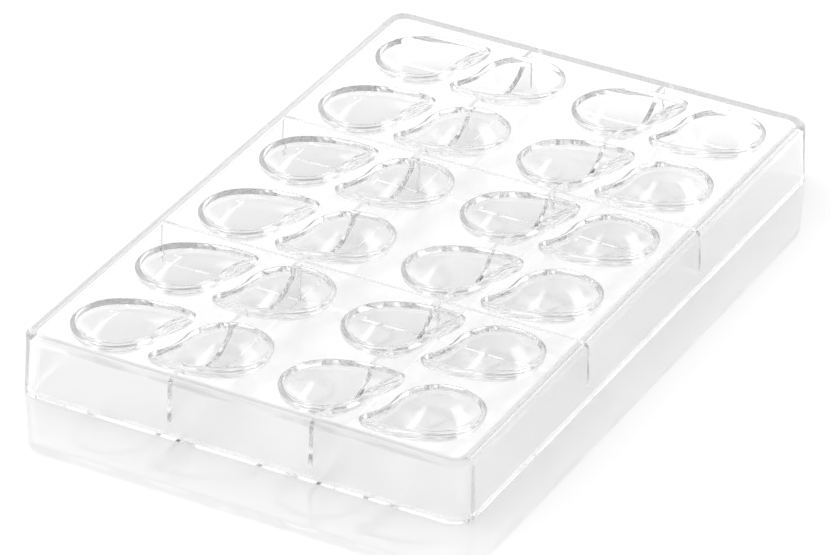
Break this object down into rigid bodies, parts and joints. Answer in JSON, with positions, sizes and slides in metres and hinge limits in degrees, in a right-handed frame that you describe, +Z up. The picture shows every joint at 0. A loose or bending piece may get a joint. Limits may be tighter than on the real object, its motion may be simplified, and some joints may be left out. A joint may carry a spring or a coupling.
{
  "type": "praline mold",
  "caption": "Clear rigid rectangular praline mold: a shallow upturned tray with teardrop cavities in its deck, thin cups and ribs beneath.",
  "frame": {"origin": "centre of the foot of the skirt, on the surface that the mold rests on", "axes": "+X along the short front edge from left to right, +Y along the length away from the front, +Z up out of the deck"},
  "size_m": [0.175, 0.275, 0.024],
  "materials": {
    "clear_polycarbonate": "clear, colourless and polished"
  },
  "bodies": {
    "root": {"deck": "clear_polycarbonate", "cup_a1": "clear_polycarbonate", "cup_a2": "clear_polycarbonate", "cup_a3": "clear_polycarbonate", "cup_a4": "clear_polycarbonate", "cup_a5": "clear_polycarbonate", "cup_a6": "clear_polycarbonate", "cup_b1": "clear_polycarbonate", "cup_b2": "clear_polycarbonate", "cup_b3": "clear_polycarbonate", "cup_b4": "clear_polycarbonate", "cup_b5": "clear_polycarbonate", "cup_b6": "clear_polycarbonate", "cup_c1": "clear_polycarbonate", "cup_c2": "clear_polycarbonate", "cup_c3": "clear_polycarbonate", "cup_c4": "clear_polycarbonate", "cup_c5": "clear_polycarbonate", "cup_c6": "clear_polycarbonate", "cup_d1": "clear_polycarbonate", "cup_d2": "clear_polycarbonate", "cup_d3": "clear_polycarbonate", "cup_d4": "clear_polycarbonate", "cup_d5": "clear_polycarbonate", "cup_d6": "clear_polycarbonate", "front_skirt": "clear_polycarbonate", "back_skirt": "clear_polycarbonate", "left_skirt": "clear_polycarbonate", "right_skirt": "clear_polycarbonate", "front_left_corner": "clear_polycarbonate", "front_right_corner": "clear_polycarbonate", "back_left_corner": "clear_polycarbonate", "back_right_corner": "clear_polycarbonate", "front_cross_rib": "clear_polycarbonate", "back_cross_rib": "clear_polycarbonate", "left_front_rib": "clear_polycarbonate", "left_middle_rib": "clear_polycarbonate", "left_back_rib": "clear_polycarbonate", "right_front_rib": "clear_polycarbonate", "right_middle_rib": "clear_polycarbonate", "right_back_rib": "clear_polycarbonate"}
  },
  "joints": []
}
